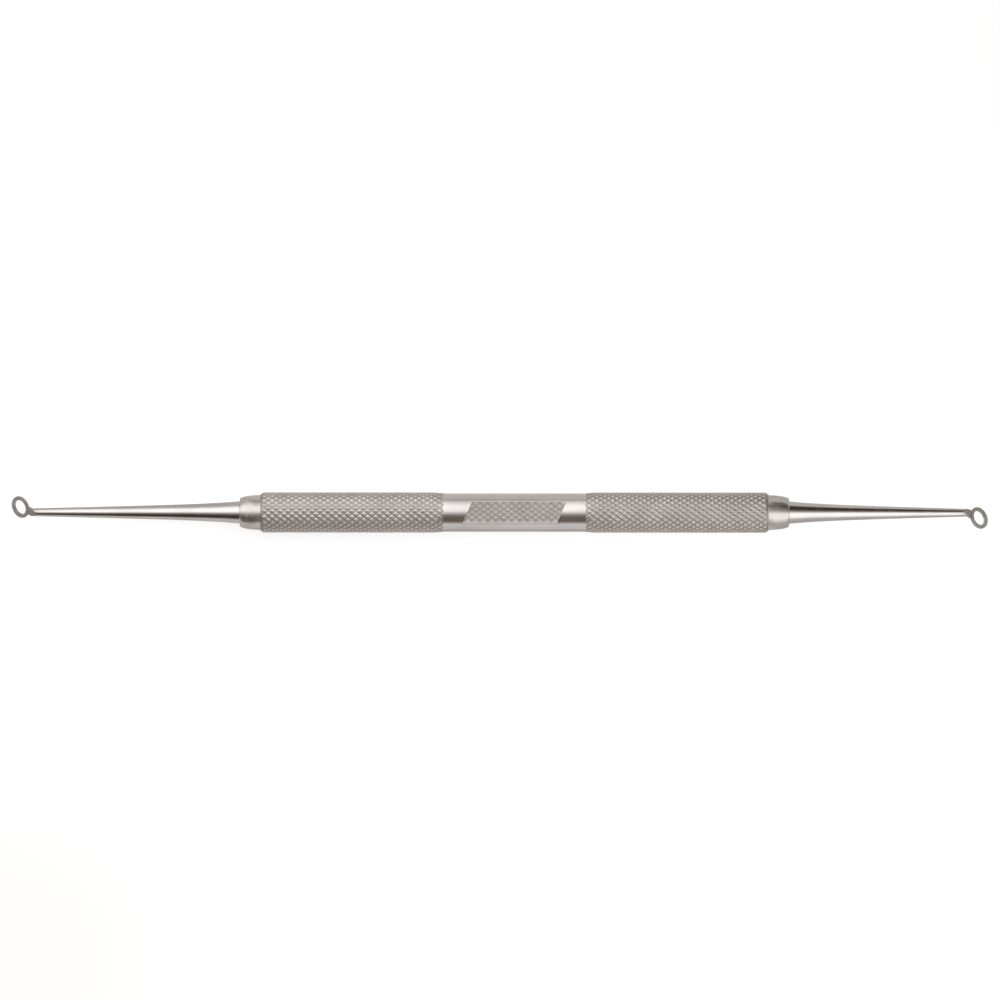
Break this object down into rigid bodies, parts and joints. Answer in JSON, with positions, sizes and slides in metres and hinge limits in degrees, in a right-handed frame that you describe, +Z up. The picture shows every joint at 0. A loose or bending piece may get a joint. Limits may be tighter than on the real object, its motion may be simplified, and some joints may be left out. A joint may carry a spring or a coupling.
{
  "type": "nail curette",
  "caption": "Double-ended steel nail curette: hollow knurled handle with a flat on its waist, ferrules, tapered shanks and flat cutting rings that are bent away from the flat's side.",
  "frame": {"origin": "middle of the tool's whole length, on the handle's axis", "axes": "+X along the handle to the shorter working end, +Z up out of the flat on the waist"},
  "size_m": [0.15, 0.0062, 0.0062],
  "materials": {
    "knurled_steel": "satin, diamond knurled",
    "polished_steel": "polished",
    "ground_steel": "fine ground",
    "braze": "satin, pale silver braze"
  },
  "bodies": {
    "root": {"handle_barrel": "knurled_steel", "left_ferrule": "polished_steel", "right_ferrule": "polished_steel", "left_shank": "polished_steel", "right_shank": "polished_steel", "left_ring_cutter": "ground_steel", "right_ring_cutter": "ground_steel", "left_braze_collar": "braze", "right_braze_collar": "braze"}
  },
  "joints": []
}
